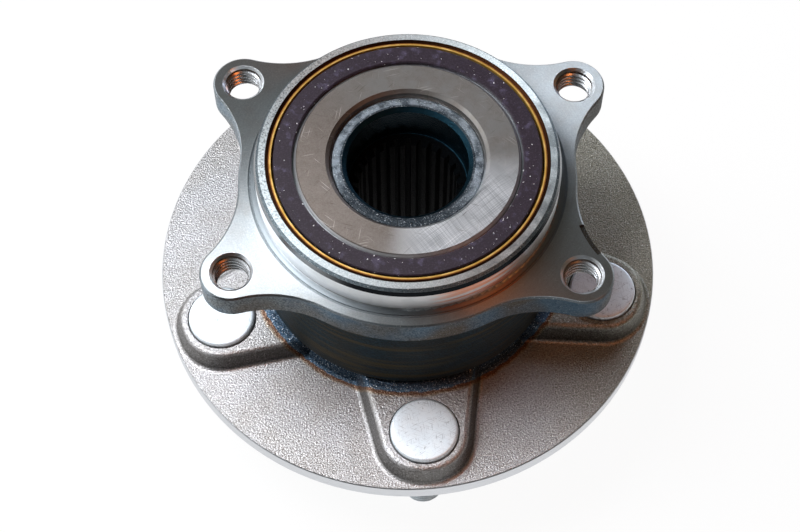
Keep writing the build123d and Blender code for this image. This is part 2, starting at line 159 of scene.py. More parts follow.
# Closes a material. Relief is a list of (height, depth in millimetres) laid on each other, and a
# grooved material spreads its gloss across the lathe lines.
def closeMaterial(tree, colour, roughness, relief, constants, grooved=False):
    inputs = {"Base Color": colour, "Roughness": roughness, **constants}
    for height, depth in relief:
        bump = {"Height": height, "Distance": depth * mm, "Strength": 1.0}
        if "Normal" in inputs:
            bump["Normal"] = inputs["Normal"]
        inputs["Normal"] = addNode(tree, "Bump", bump).outputs[0]
    if grooved:
        inputs["Tangent"] = addNode(tree, "Tangent", direction_type="RADIAL", axis="Z").outputs[0]
        inputs["Anisotropic Rotation"] = 0.25
    shader = addNode(tree, "BsdfPrincipled", inputs).outputs[0]
    addNode(tree, "OutputMaterial", {0: shader})


# Puts a grid of points, rows by columns, into a new mesh object. The columns close on themselves,
# and the doubled points at seams and poles are merged afterwards.
def surfaceFromGrid(name, points, attributes=None):
    rows, columns = points.shape[:2]
    r, c = np.meshgrid(np.arange(rows - 1), np.arange(columns), indexing="ij")
    here, beside = r * columns + c, r * columns + (c + 1) % columns
    corners = np.stack([here, beside, beside + columns, here + columns], axis=-1).reshape(-1, 4)
    mesh = bpy.data.meshes.new(name)
    mesh.vertices.add(rows * columns)
    mesh.vertices.foreach_set("co", (points * mm).astype(np.float32).ravel())
    mesh.loops.add(corners.size)
    mesh.loops.foreach_set("vertex_index", corners.astype(np.int32).ravel())
    mesh.polygons.add(len(corners))
    mesh.polygons.foreach_set("loop_start", np.arange(0, corners.size, 4, dtype=np.int32))
    mesh.update(calc_edges=True)
    for attribute, values in (attributes or {}).items():
        layer = mesh.attributes.new(attribute, "FLOAT", "POINT")
        layer.data.foreach_set("value", values.astype(np.float32).ravel())
    merged = bmesh.new()
    merged.from_mesh(mesh)
    bmesh.ops.remove_doubles(merged, verts=merged.verts, dist=1e-7)
    bmesh.ops.dissolve_degenerate(merged, edges=merged.edges, dist=1e-8)
    bmesh.ops.recalc_face_normals(merged, faces=merged.faces)
    for face in merged.faces:
        face.smooth = True
    merged.to_mesh(mesh)
    merged.free()
    piece = bpy.data.objects.new(name, mesh)
    bpy.context.scene.collection.objects.link(piece)
    return piece


# Carbon steel forging, turned on its seats: the knuckle flange shows fine lathe lines, its walls keep the
# blued forged skin, the end of the pilot is frosted, and the drum below is oily black scale, darkened
# further with painted shade.
outerRingLook = {
    "drumTopZ": 45.3,
    "faceZ": 53.5,
    "edgeRadius": 43.3,  # the bevelled edge of the flange lies beyond it
    "grooveRadii": (40.0, 43.15),  # foot of the pilot and groove in the flange face
    "leadInHeights": (60.95, 62.24),
    "bevelHeights": (62.3, 63.04),
    "pilotEndZ": 63.1,
    "mouthRadii": (30.0, 37.92),
    "innerTopZ": 62.2,
    "innerRadius": 39.5,
    "boltX": 46.0,
    "boltY": 30.0,
    "countersinkRadius": 5.84,
    "holeRadius": 5.04,
    "lathePitch": 0.12,  # feed of the finishing cut
    "grainSize": 0.5,  # forged skin, drawn a little coarse so that it shows
    "paintedShadeSide": (0.42, -0.9, 0.0),
    "shadedRightSide": (0.95, -0.3, 0.0),
    "pittedSide": (-0.97, 0.24, 0.0),
    "amberReflectionSide": (0.47, -0.88, 0.0),
}


def turnedForging(look):
    material, tree = newTree("turned steel forging")
    place = placeOnPart(tree)
    z, r, point, away = place["z"], place["r"], place["point"], place["away"]
    faceZ, endZ = look["faceZ"], look["pilotEndZ"]
    lines = latheLines(tree, place, look["lathePitch"])
    # broad streaks on the drum, and runs of a painted amber reflection along the pilot
    streaks, runs = [
        addNode(tree, "MapRange", {0: latheLines(tree, place, *cut), 1: low, 2: high}).outputs[0]
        for cut, low, high in (((1.6, 1.5, 1.0), 0.48, 0.66), ((1.1, 1.2, 1.0), 0.42, 0.58))
    ]
    broad = mottle(tree, point, 14.0, 0.38, 0.62)
    patch = mottle(tree, point, 5.0, 0.45, 0.65)
    speck = mottle(tree, point, look["grainSize"], 0.36, 0.64)
    fine = mottle(tree, point, 0.26, 0.3, 0.7)
    glint = mottle(tree, point, 0.32, 0.64, 0.74)
    # the surfaces of the ring, from the drum up to the end of the pilot
    onDrum = between(tree, z, 0.0, look["drumTopZ"], 0.3)
    onEdge = overlap(
        tree,
        between(tree, z, faceZ - 0.5, faceZ - 0.12, 0.06),
        between(tree, r, look["edgeRadius"], far, 0.1),
    )
    onFace = between(tree, z, faceZ - 0.06, faceZ + 0.3, 0.06)
    onFoot = overlap(
        tree, between(tree, z, faceZ - 0.5, faceZ + 0.12), between(tree, r, *look["grooveRadii"], 0.06)
    )
    onPilot = between(tree, z, faceZ + 0.5, top, 0.3)
    onLeadIn = between(tree, z, *look["leadInHeights"], 0.08)
    onBevel = between(tree, z, *look["bevelHeights"])
    onEnd = between(tree, z, endZ - 0.06, top)
    inMouth = overlap(
        tree, between(tree, z, endZ - 0.6, top, 0.1), between(tree, r, *look["mouthRadii"], 0.1)
    )
    inside = overlap(
        tree, between(tree, r, 0.0, look["innerRadius"], 0.2), between(tree, z, 0.0, look["innerTopZ"], 0.1)
    )
    # distance from the nearest knuckle hole
    overX, overY = [
        addNode(tree, "Math", {0: place[axis]}, operation="ABSOLUTE").outputs[0] for axis in ("x", "y")
    ]
    quarter = addNode(tree, "CombineXYZ", {0: overX, 1: overY}).outputs[0]
    fromHole = addNode(
        tree, "VectorMath", {0: quarter, 1: (look["boltX"], look["boltY"], 0.0)}, operation="DISTANCE"
    ).outputs["Value"]
    inCountersink = between(tree, fromHole, -1.0, look["countersinkRadius"], 0.06)
    inHole = between(tree, fromHole, -1.0, look["holeRadius"], 0.06)
    # marks: painted dark reflection and shade in front, painted shade and blotched reflection on the right,
    # pits on the left, and a painted amber reflection that runs along the cut
    paintedShade = facing(tree, away, look["paintedShadeSide"], 0.4, 0.72)
    shadedRight = facing(tree, away, look["shadedRightSide"], 0.45, 0.85)
    reflectionBlotches = overlap(tree, shadedRight, mottle(tree, point, 5.0, 0.3, 0.66))
    pitted = facing(tree, away, look["pittedSide"], 0.3, 0.9)
    pits = overlap(tree, pitted, mottle(tree, point, 0.55, 0.52, 0.6))
    # a painted orange reflection of a warm light on the pilot and its foot
    amberReflection = overlap(tree, facing(tree, away, look["amberReflectionSide"], 0.93, 0.99), runs)
    wall = layCoats(
        tree,
        "848F95",
        [
            (speck, "525D65"),
            (patch, "5A6E80", 0.55),
            (broad, "695B49", 0.55),
            (glint, "A9B4BA"),
            # painted shade darkens the walls on the right
            (shadedRight, layCoats(tree, "3A3D3C", [(glint, "8E979B")]), 0.6),
            # painted dark bluish reflection on the walls in front
            (paintedShade, layCoats(tree, "3C586D", [(broad, "4B4238"), (glint, "8B9BA8")]), 0.55),
        ],
    )
    # the drum's black scale is darkened further with painted shade under the flange
    drum = layCoats(tree, "1D333D", [(speck, "141C20"), (broad, "24221C", 0.5), (streaks, "423824", 0.8)])
    face = layCoats(
        tree,
        "AFB3B4",
        [(lines, "92979A"), (speck, "7F8482", 0.3), (patch, "8A857C", 0.25), (glint, "DDE0E0", 0.4)],
    )
    pilot = layCoats(tree, "F4F5F6", [(lines, "D9DCDE"), (patch, "A2AAAE", 0.2), (amberReflection, "D8824A", 0.75)])
    frost = layCoats(
        tree,
        "D2DADC",
        [
            (speck, "EAEFEF"),
            (fine, "9DA7A9", 0.45),
            (glint, "F6F8F8"),
            # painted reflection on the right of the pilot end: dark patches with highlights
            (reflectionBlotches, layCoats(tree, "555E62", [(glint, "DFE5E7")]), 0.7),
            (pits, "465054", 0.5),
        ],
    )
    colour = layCoats(
        tree,
        wall,
        [
            (onDrum, drum),
            (onFace, face),
            (onEdge, layCoats(tree, "858C90", [(glint, "E6EAEC")])),
            (onPilot, pilot),
            (onFoot, layCoats(tree, "7C8285", [(amberReflection, "B0683A", 0.8)])),
            # painted dark reflection blackens the front of the lead-in
            (onLeadIn, layCoats(tree, "9A9EA1", [(lines, "74797C"), (paintedShade, "14171A")])),
            (onBevel, layCoats(tree, "6C767B", [(speck, "4C565B"), (glint, "E6EAEC")])),
            (onEnd, frost),
            (inMouth, "2C180D"),
            (inCountersink, "D2D5D7"),
            (inHole, layCoats(tree, "5E5650", [(patch, "4A3A2E")])),
            (inside, "C4C6C8"),
        ],
    )
    roughness = layCoats(
        tree,
        addNode(tree, "MapRange", {0: speck, 3: 0.42, 4: 0.58}).outputs[0],
        [
            (onDrum, 0.5),
            (onFace, addNode(tree, "MapRange", {0: lines, 3: 0.34, 4: 0.48}).outputs[0]),
            (onEdge, 0.3),
            (onPilot, 0.38),
            (onLeadIn, 0.22),
            (onBevel, 0.5),
            (onEnd, 0.8),
            (inCountersink, 0.28),
            (inside, 0.2),
        ],
        plain=True,
    )
    skin = layCoats(
        tree,
        speck,
        [
            (onFace, overlap(tree, fine, 0.3)),
            (onPilot, 0.5),
            (onBevel, speck),
            (onEnd, speck),
            (inside, 0.5),
        ],
        plain=True,
    )
    # oil over black scale hides the metal of the drum
    metal = layCoats(tree, 1.0, [(onDrum, 0.0)], plain=True)
    closeMaterial(
        tree,
        colour,
        roughness,
        [(lines, 0.005), (skin, 0.035)],
        {"Metallic": metal, "Anisotropic": 0.85, "Specular IOR Level": 0.1},
        grooved=True,
    )
    return material


# Steel forging after shot blasting: a matt, dense grain of tiny dents that glitters. Painted shade darkens
# the steep pad walls, turned seats are bright, and induction hardening of the spindle has left blue, brown
# and straw around its root.
hubFlangeLook = {
    "rimRadius": 71.4,
    "rimTopZ": 6.35,
    "plateZ": 6.5,
    "padTopZ": 12.3,
    "padWallRadii": (42.2, 71.2),
    "padWallHeights": (6.7, 12.2),
    "raceRadii": (20.0, 34.5),
    "raceHeights": (12.6, 59.0),
    "boreRadius": 17.5,
    "axlePilotHeights": (40.0, 61.0),
    "axlePilotRadii": (16.2, 17.6),
    "spindleEndZ": 60.7,
    "spindleEndRadii": (17.6, 21.5),
    "spindleMouthRadii": (17.0, 18.0),
    "spindleLipRadius": 20.6,
    "shotDent": 0.5,  # a dent in the steel is about 0.3, drawn coarser so that it shows
    "temperHeights": (5.0, 16.0),
    "temperLift": 2.2,  # how much further out the colours lie on the pads
    # how far from the axle straw, brown, blue and dark blue end on the plate, and how softly
    "temperEnds": ((44.15, 0.7), (43.7, 0.6), (42.8, 0.4), (41.4, 1.4)),
    "paintedShadeSide": (0.96, 0.28, 0.0),
    "frontShadeSide": (-0.15, -1.0, 0.0),
}


def blastedForging(look):
    material, tree = newTree("shot blasted steel forging")
    place = placeOnPart(tree)
    z, r, point, away = place["z"], place["r"], place["point"], place["away"]
    lines = latheLines(tree, place, 0.16)
    dents = mottle(tree, point, look["shotDent"], 0.33, 0.67, 3.0, 0.6)
    glint = mottle(tree, point, 0.38, 0.6, 0.7)
    pit = mottle(tree, point, 0.44, 0.4, 0.3)
    broad = mottle(tree, point, 11.0, 0.36, 0.64)
    smear = mottle(tree, point, 2.4, 0.42, 0.62)
    # painted shade and warm reflection darken the right of the disc towards olive
    paintedShade = facing(tree, away, look["paintedShadeSide"], 0.1, 0.95)
    blasted = layCoats(
        tree,
        "CAC9CA",
        [
            (dents, "8F8D8C"),
            (broad, "938C82", 0.35),
            (pit, "4E4A47", 0.7),
            (glint, "DEDCDA"),
            (paintedShade, layCoats(tree, "99957F", [(dents, "5D5A49"), (glint, "C4C1B4")]), 0.75),
        ],
    )
    # steep places are told from the surface's own normal, which leans from straight up
    normal = addNode(tree, "NewGeometry").outputs["Normal"]
    steep = facing(tree, normal, (0.0, 0.0, -1.0), -0.72, -0.42)
    onPadWall = overlap(
        tree,
        steep,
        between(tree, z, *look["padWallHeights"], 0.2),
        between(tree, r, *look["padWallRadii"], 0.2),
    )
    # tempering colours follow the distance from the root, further out on the raised pads
    lift = addNode(
        tree, "MapRange", {0: z, 1: look["plateZ"], 2: look["padTopZ"], 3: 0.0, 4: look["temperLift"]}
    ).outputs[0]
    wander = addNode(tree, "MapRange", {0: mottle(tree, point, 3.0, 0.2, 0.8), 3: -0.45, 4: 0.45}).outputs[0]
    heat = addNode(tree, "Math", {0: r, 1: lift}, operation="SUBTRACT").outputs[0]
    heat = addNode(tree, "Math", {0: heat, 1: wander}, operation="ADD").outputs[0]
    onPlate = between(tree, z, *look["temperHeights"], 0.2)
    straw, brown, blue, deep = [
        overlap(tree, between(tree, heat, 0.0, end, soft), onPlate) for end, soft in look["temperEnds"]
    ]
    onRim = overlap(
        tree, between(tree, r, look["rimRadius"], far), between(tree, z, -1.0, look["rimTopZ"], 0.1)
    )
    below = between(tree, z, -20.0, 0.04, 0.03)
    race = overlap(
        tree, between(tree, r, *look["raceRadii"], 0.2), between(tree, z, *look["raceHeights"], 0.2)
    )
    inBore = between(tree, r, 0.0, look["boreRadius"], 0.15)
    inAxlePilot = overlap(
        tree,
        between(tree, r, *look["axlePilotRadii"], 0.1),
        between(tree, z, *look["axlePilotHeights"], 0.1),
    )
    onSpindleEnd = overlap(
        tree,
        between(tree, z, look["spindleEndZ"] - 2.0, top, 0.1),
        between(tree, r, *look["spindleEndRadii"], 0.1),
    )
    onLip = overlap(
        tree, onSpindleEnd, between(tree, r, look["spindleLipRadius"], look["spindleEndRadii"][1], 0.1)
    )
    atMouth = between(tree, r, *look["spindleMouthRadii"], 0.25)
    frontShade = facing(tree, away, look["frontShadeSide"], 0.1, 0.9)
    turnedSteel = layCoats(tree, "E0E2E6", [(lines, "C6C9CD")])
    spindleEnd = layCoats(
        tree,
        "9FA8AF",
        [
            (smear, "3F474E", 0.85),
            (lines, "3B434A", 0.65),
            (atMouth, "1B242B", 0.8),
            # painted shade darkens the front of the spindle end
            (frontShade, "20262B", 0.9),
            (glint, "D3D9DD", 0.5),
        ],
    )
    colour = layCoats(
        tree,
        blasted,
        [
            # painted shade on the steep pad walls
            (onPadWall, layCoats(tree, "4F4E4D", [(dents, "35332F"), (glint, "8B8985")]), 0.62),
            (straw, layCoats(tree, "A58A5C", [(dents, "7C6239"), (glint, "E5D9BE")]), 0.5),
            (brown, layCoats(tree, "7E5136", [(dents, "4E3226"), (glint, "C9A98C")]), 0.8),
            (blue, layCoats(tree, "64839B", [(dents, "2F465B"), (glint, "E6EDF2")]), 0.92),
            (deep, layCoats(tree, "303A46", [(dents, "1D242C"), (glint, "A9B6C2")]), 0.6),
            (onRim, turnedSteel),
            (below, turnedSteel),
            (race, "C4C6C8"),
            # the bore is painted near black as shade
            (inBore, layCoats(tree, "0E1113", [(dents, "08090A"), (inAxlePilot, "1C3946", 0.7)])),
            (onSpindleEnd, spindleEnd),
            (onLip, "DDE2E5", 0.85),
        ],
    )
    roughness = layCoats(
        tree,
        addNode(tree, "MapRange", {0: dents, 3: 0.38, 4: 0.48}).outputs[0],
        [
            (onRim, 0.34),
            (below, 0.32),
            (race, 0.18),
            (inBore, 0.8),
            (inAxlePilot, 0.36),
            (onSpindleEnd, 0.4),
        ],
        plain=True,
    )
    skin = layCoats(tree, dents, [(onRim, lines), (below, lines), (race, 0.5)], plain=True)
    constants = {"Metallic": 1.0, "Anisotropic": 0.1}
    closeMaterial(tree, colour, roughness, [(skin, 0.075)], constants, grooved=True)
    return material


# Through-hardened bearing steel, face ground: satin, with fine scratches all over, and on the lower right a
# painted highlight near white under a hatch of two crossing cuts where the grinding cup left last. Each kind
# of scratch has its angles, length, width, and the range of the noise's peaks that shows: the higher, the
# rarer.
innerRingLook = {
    "lathePitch": 0.16,
    "chamferRadii": (29.8, 31.0),
    "hatchAndHighlightSide": (0.66, -0.75, 0.0),
    "tarnishedSide": (-0.93, -0.37, 0.0),
    "hatch": {"angles": (40.0, 127.0), "cut": (16.0, 0.17, 0.36, 0.7)},
    "bright": {"angles": (15.0, 80.0, 140.0), "cut": (7.0, 0.22, 0.78, 0.86)},
    "dark": {"angles": (50.0, 165.0), "cut": (6.0, 0.26, 0.77, 0.85)},
}


def groundSteel(look):
    material, tree = newTree("ground bearing steel")
    place = placeOnPart(tree)
    point, away = place["point"], place["away"]
    lines = latheLines(tree, place, look["lathePitch"], 5.0)
    hatchAndHighlight = facing(tree, away, look["hatchAndHighlightSide"], 0.56, 0.95)
    tarnish = facing(tree, away, look["tarnishedSide"], -0.1, 0.8)
    hatch, bright, dark = [
        [scratches(tree, point, angle, *look[kind]["cut"]) for angle in look[kind]["angles"]]
        for kind in ("hatch", "bright", "dark")
    ]
    rising, falling = [overlap(tree, cut, hatchAndHighlight) for cut in hatch]
    stain = mottle(tree, point, 4.0, 0.4, 0.66)
    grain = mottle(tree, point, 0.35, 0.35, 0.65)
    colour = layCoats(
        tree,
        "96938F",
        [
            (lines, "7C7874", 0.5),
            (tarnish, "7D6F65", 0.75),
            (stain, "6B6057", 0.5),
            (grain, "9A948F", 0.35),
            # a painted highlight, near white, on the lower right
            (hatchAndHighlight, "F1F2F4", 0.95),
            *[(mark, "5A5048", 0.7) for mark in dark],
            *[(mark, "CFC9C2", 0.75) for mark in bright],
            (falling, "85888C", 0.4),
            (rising, "7F8286", 0.4),
            (between(tree, place["r"], *look["chamferRadii"], 0.1), "DCDEE0", 0.7),
        ],
    )
    roughness = layCoats(tree, 0.42, [(rising, 0.36), (bright[0], 0.5), (stain, 0.5, 0.5)], plain=True)
    relief = [(lines, 0.004), (rising, 0.006)]
    closeMaterial(tree, colour, roughness, relief, {"Metallic": 1.0, "Anisotropic": 0.1}, grooved=True)
    return material


# Nitrile rubber with ferrite powder, moulded and magnetised: plum brown and satin, with white
# dust that its magnet holds.
encoderLook = {
    "dustSize": 0.9,  # spacing of the grains
    "dustShare": 0.34,  # share of the spacings that hold a grain
}


def ferriteRubber(look):
    material, tree = newTree("ferrite filled rubber")
    place = placeOnPart(tree)
    point = place["point"]
    # bent space gives each grain its own ragged outline
    sway = addNode(tree, "TexNoise", {"Vector": point, "Scale": 3.5, "Detail": 1.0}).outputs["Color"]
    bent = addNode(
        tree, "VectorMath", {0: sway, 1: (0.6, 0.6, 0.6), 2: point}, operation="MULTIPLY_ADD"
    ).outputs[0]
    cells = addNode(tree, "TexVoronoi", {"Vector": bent, "Scale": 1 / look["dustSize"]}).outputs
    chance = addNode(tree, "SeparateXYZ", {0: cells["Color"]}).outputs
    size = addNode(tree, "MapRange", {0: chance[1], 3: 0.06, 4: 0.22}).outputs[0]
    inGrain = addNode(tree, "Math", {0: cells["Distance"], 1: size}, operation="LESS_THAN").outputs[0]
    chosen = addNode(tree, "Math", {0: chance[0], 1: look["dustShare"]}, operation="LESS_THAN").outputs[0]
    dust = overlap(tree, inGrain, chosen)
    fuzz = mottle(tree, point, 0.3, 0.55, 0.72)
    cloud = mottle(tree, point, 3.0, 0.56, 0.74)
    wipe = latheLines(tree, place, 0.5, 4.0)
    grain = mottle(tree, point, 0.45, 0.5, 0.68)
    colour = layCoats(
        tree,
        "2B212B",
        [
            (wipe, "1F171F"),
            (grain, "463B49", 0.4),
            (cloud, "4C445C", 0.5),
            (overlap(tree, fuzz, cloud), "8580A0", 0.5),
            (dust, "E4E5E7"),
        ],
    )
    roughness = layCoats(tree, 0.4, [(cloud, 0.52), (dust, 0.9)], plain=True)
    relief = [(mottle(tree, point, 0.25), 0.01), (dust, 0.08)]
    closeMaterial(tree, colour, roughness, relief, {"Metallic": 0.0, "Specular IOR Level": 0.4})
    return material


# Sheet steel, pressed: even, with rub marks from the press tool. The inboard case is plated and passivated
# yellow, darkened with painted shade beyond a radius towards its outer edge.
slingerLook = {
    "name": "cold rolled sheet steel",
    "base": "8F9294",
    "dark": "74777A",
    "bright": "A9ACAE",
    "roughness": 0.3,
    "metallic": 1.0,
    "darkFrom": far,
}
inboardCaseLook = {
    "name": "yellow passivated zinc",
    "base": "EFBF5E",
    "dark": "8A5220",
    "bright": "FADF9C",
    "roughness": 0.3,
    "metallic": 0.6,
    # painted shade darkens the yellow case beyond this radius
    "darkFrom": 36.88,
}
outboardCaseLook = {
    "name": "cold rolled seal case steel",
    "base": "7E8183",
    "dark": "66696C",
    "bright": "989B9D",
    "roughness": 0.32,
    "metallic": 1.0,
    "darkFrom": far,
}


def pressedSheet(look):
    material, tree = newTree(look["name"])
    place = placeOnPart(tree)
    lines = latheLines(tree, place, 0.3)
    stain = mottle(tree, place["point"], 2.6, 0.4, 0.7)
    # painted shade beyond darkFrom
    shadedEdge = between(tree, place["r"], look["darkFrom"], far, 0.15)
    colour = layCoats(
        tree,
        look["base"],
        [(lines, look["dark"], 0.4), (stain, look["bright"], 0.35), (shadedEdge, look["dark"])],
    )
    smooth = look["roughness"]
    roughness = addNode(tree, "MapRange", {0: stain, 3: smooth, 4: smooth + 0.14}).outputs[0]
    relief = [(mottle(tree, place["point"], 0.8), 0.002)]
    constants = {"Metallic": look["metallic"], "Anisotropic": 0.3}
    closeMaterial(tree, colour, roughness, relief, constants, grooved=True)
    return material


# Moulded nitrile rubber: near black, matt, with a slight bloom.
sealLipLook = {"base": "1B1B1D", "bloom": "2A2A2C", "bloomSize": 2.5, "roughness": (0.55, 0.75)}


def sealRubber(look):
    material, tree = newTree("moulded nitrile rubber")
    point = placeOnPart(tree)["point"]
    bloom = mottle(tree, point, look["bloomSize"], 0.4, 0.7)
    colour = layCoats(tree, look["base"], [(bloom, look["bloom"])])
    clean, dull = look["roughness"]
    roughness = addNode(tree, "MapRange", {0: bloom, 3: clean, 4: dull}).outputs[0]
    closeMaterial(tree, colour, roughness, [(mottle(tree, point, 0.3), 0.01)], {"Metallic": 0.0})
    return material


# Glass filled nylon, injection moulded: ivory, slightly cloudy, fibres just under the skin.
cageLook = {
    "base": "CFC6AC",
    "fibre": "BDB294",
    "cloud": "DAD3BE",
    "fibreSize": 0.5,
    "cloudSize": 5.0,
    "roughness": 0.48,
    "translucence": 0.05,
}


def cageNylon(look):
    material, tree = newTree("moulded glass filled nylon")
    point = placeOnPart(tree)["point"]
    fibre = mottle(tree, point, look["fibreSize"], 0.4, 0.6)
    cloud = mottle(tree, point, look["cloudSize"])
    colour = layCoats(tree, look["base"], [(fibre, look["fibre"], 0.5), (cloud, look["cloud"], 0.4)])
    constants = {"Metallic": 0.0, "Subsurface Weight": look["translucence"], "Subsurface Scale": mm}
    closeMaterial(tree, colour, look["roughness"], [(fibre, 0.01)], constants)
    return material


# Chrome bearing steel balls, lapped: mirror bright with hair-fine marks.
ballLook = {"base": "D2D3D4", "mark": "B8BABC", "markSize": 0.5, "roughness": (0.07, 0.16)}


def lappedSteel(look):
    material, tree = newTree("lapped bearing steel")
    marks = mottle(tree, placeOnPart(tree)["point"], look["markSize"], 0.55, 0.7)
    colour = layCoats(tree, look["base"], [(marks, look["mark"], 0.4)])
    mirror, marked = look["roughness"]
    roughness = addNode(tree, "MapRange", {0: marks, 3: mirror, 4: marked}).outputs[0]
    closeMaterial(tree, colour, roughness, [(marks, 0.001)], {"Metallic": 1.0})
    return material


looks = {
    "outer_ring": turnedForging(outerRingLook),
    "hub_flange": blastedForging(hubFlangeLook),
    "inner_ring": groundSteel(innerRingLook),
    "encoder_ring": ferriteRubber(encoderLook),
    "slinger": pressedSheet(slingerLook),
    "inboard_seal_case": pressedSheet(inboardCaseLook),
    "outboard_seal_case": pressedSheet(outboardCaseLook),
}
looks["inboard_seal_lip"] = looks["outboard_seal_lip"] = sealRubber(sealLipLook)
looks["inboard_cage"] = looks["outboard_cage"] = cageNylon(cageLook)
ballSteel = lappedSteel(ballLook)
for name, node in nodes.items():
    if "_ball_" in name:
        looks[name] = ballSteel
    if name in looks:
        for materialSlot in node.material_slots:
            materialSlot.material = looks[name]
print("materials made for", len(looks), "nodes")


earThread = {
    "majorRadius": 5.03,
    "minorRadius": 4.24,
    "pitch": 1.5,
    "rootWidth": 1.34,
    "bottomZ": 45.75,
    "topZ": 52.75,
    "stepsPerTurn": 72,
}


# Cut thread in the ears: bright flanks, with a painted brown-orange reflection and shade on the left of each
# hole.
# The side attribute runs from -1 at the left of a hole to 1 at its right.
def cutThread():
    material, tree = newTree("freshly cut steel thread")
    point = placeOnPart(tree)["point"]
    side = addNode(tree, "Attribute", attribute_name="side").outputs["Fac"]
    # painted warm reflection and shade on the left of each hole
    warmReflectionLeft = addNode(
        tree, "MapRange", {0: side, 1: -0.1, 2: -0.75}, interpolation_type="SMOOTHSTEP"
    ).outputs[0]
    smear = mottle(tree, point, 1.2, 0.3, 0.6)
    flank = mottle(tree, point, 0.25, 0.4, 0.7)
    colour = layCoats(
        tree,
        "C8CACC",
        [(flank, "A9ABAD"), (overlap(tree, warmReflectionLeft, smear), "9C6A48", 0.65), (warmReflectionLeft, "5E3A26", 0.35)],
    )
    closeMaterial(tree, colour, 0.27, [(mottle(tree, point, 0.3), 0.006)], {"Metallic": 1.0})
    return material


# A ridge carried along a helix. At turn angle t its section is a rounded trapezium between the
# wall and the crest: radius = major - depth * inward * fade(t), and height = bottom + half the root
# + pitch * t / (2 pi) + upward * fade(t), where fade eases the ridge to nothing over the first and
# last third of a turn.
def threadRidge(name, centre, settings):
    half = settings["rootWidth"] / 2
    turns = (settings["topZ"] - settings["bottomZ"] - 2 * half) / settings["pitch"]
    t = np.linspace(0, 2 * math.pi * turns, int(turns * settings["stepsPerTurn"]) + 1)[:, None]
    ends = np.clip(np.minimum(t, t[-1] - t) / (2 * math.pi / 3), 0, 1)
    fade = ends * ends * (3 - 2 * ends)
    depth = settings["majorRadius"] - settings["minorRadius"]
    inward = np.array([0.0, 0.06, 0.5, 0.94, 1.0])
    upward = half * np.array([1.0, 0.95, 0.62, 0.3, 0.2])
    inward, upward = np.concatenate([inward, inward[::-1]]), np.concatenate([-upward, upward[::-1]])
    radius = settings["majorRadius"] - depth * inward * fade
    z = settings["bottomZ"] + half + settings["pitch"] * t / (2 * math.pi) + upward * fade
    points = np.stack([centre[0] + radius * np.cos(t), centre[1] + radius * np.sin(t), z], axis=-1)
    return surfaceFromGrid(name, points, {"side": np.cos(t) + 0 * radius})


threadSteel = cutThread()
boltX, boltY = outerRingLook["boltX"], outerRingLook["boltY"]
holes = [(x, y) for x in (-boltX, boltX) for y in (-boltY, boltY)]
for number, hole in enumerate(holes, 1):
    ridge = threadRidge(f"ear_thread_{number}", hole, earThread)
    ridge.data.materials.append(threadSteel)
    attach(ridge, "outer")
print("ear threads cut")


studLook = {
    "boltCircle": 114.3,
    "count": 5,
    "turn": -84.9,
    "threadRadius": 6.0,
    "pitch": 1.5,
    "threadDepth": 0.92,
    "threadTopZ": -1.2,
    "threadRecess": 0.05,
    "shankRadius": 6.4,
    "serrations": 40,
    "serrationHeight": 0.01,
    "seatZ": 9.9,
    "headRadius": 9.4,
    "headBreak": 0.25,
    "headRound": 0.9,
    "headTopZ": 13.6,
    "tipZ": -27.5,
    "tipRadius": 4.6,
    "tipRound": 0.3,
    "tipLength": 2.2,
    "columns": 80,
    "scratchAngles": (35.0, 100.0, 160.0),
}


# Steel stud, zinc plated and clear passivated: pale, faintly blue, with small handling dents.
def zincPlate(look):
    material, tree = newTree("zinc plated steel")
    point = placeOnPart(tree)["point"]
    cloud = mottle(tree, point, 3.0, 0.4, 0.7)
    dents = mottle(tree, point, 1.1, 0.66, 0.74)
    fine = mottle(tree, point, 0.3, 0.3, 0.7)
    marks = [scratches(tree, point, angle, 3.4, 0.2, 0.68, 0.76) for angle in look["scratchAngles"]]
    colour = layCoats(
        tree,
        "ECF5FA",
        [
            (fine, "C6CCD2", 0.2),
            (cloud, "EDEFF0", 0.3),
            (dents, "9AA1A4", 0.6),
            *[(mark, "A4ABB0", 0.5) for mark in marks],
        ],
    )
    roughness = layCoats(tree, 0.52, [(cloud, 0.58), (dents, 0.7)], plain=True)
    closeMaterial(tree, colour, roughness, [(fine, 0.008), (dents, -0.03)], {"Metallic": 0.65})
    return material


